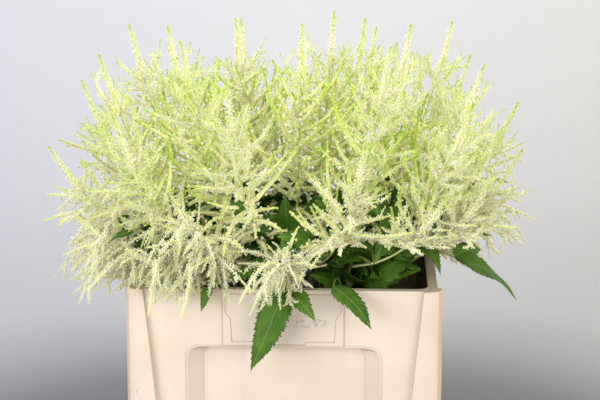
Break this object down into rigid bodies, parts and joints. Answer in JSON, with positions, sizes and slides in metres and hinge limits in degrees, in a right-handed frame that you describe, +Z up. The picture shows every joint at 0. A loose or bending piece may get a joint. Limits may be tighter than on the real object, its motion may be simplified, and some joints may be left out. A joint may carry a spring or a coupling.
{
  "type": "astilbe plant",
  "caption": "Dense dome of creamy white astilbe plumes on cut, bunched stems with toothed leaves, standing in water in a tall moulded plastic flower container.",
  "frame": {"origin": "middle of the container's underside, on the floor that it stands on", "axes": "+Z up through the plumes; +X to the right along the long walls; -Y towards the front, the long wall with the large hanging leaf"},
  "size_m": [0.6202, 0.4957, 0.6476],
  "materials": {
    "container_plastic": "satin moulded polypropylene, creamy beige, scuffed",
    "water": "still water, a little cloudy",
    "foliage": "living leaf and stem, soft satin green",
    "flowers": "matte creamy white florets with lime buds"
  },
  "bodies": {
    "root": {"container": "container_plastic", "water": "water", "stems_01": "foliage", "stems_02": "foliage", "stems_03": "foliage", "stems_04": "foliage", "stems_05": "foliage", "stems_06": "foliage", "stems_07": "foliage", "stems_08": "foliage", "stems_09": "foliage", "stems_10": "foliage", "plume_01": "flowers", "plume_02": "flowers", "plume_03": "flowers", "plume_04": "flowers", "plume_05": "flowers", "plume_06": "flowers", "plume_07": "flowers", "plume_08": "flowers", "plume_09": "flowers", "plume_10": "flowers", "plume_11": "flowers", "plume_12": "flowers", "plume_13": "flowers", "plume_14": "flowers", "plume_15": "flowers", "plume_16": "flowers", "plume_17": "flowers", "plume_18": "flowers", "plume_19": "flowers", "plume_20": "flowers", "plume_21": "flowers", "plume_22": "flowers", "plume_23": "flowers", "plume_24": "flowers", "plume_25": "flowers", "plume_26": "flowers", "plume_27": "flowers", "plume_28": "flowers", "plume_29": "flowers", "plume_30": "flowers", "plume_31": "flowers", "plume_32": "flowers", "plume_33": "flowers", "plume_34": "flowers", "plume_35": "flowers", "plume_36": "flowers", "plume_37": "flowers", "plume_38": "flowers", "plume_39": "flowers", "plume_40": "flowers", "plume_41": "flowers", "plume_42": "flowers", "plume_43": "flowers"}
  },
  "joints": []
}
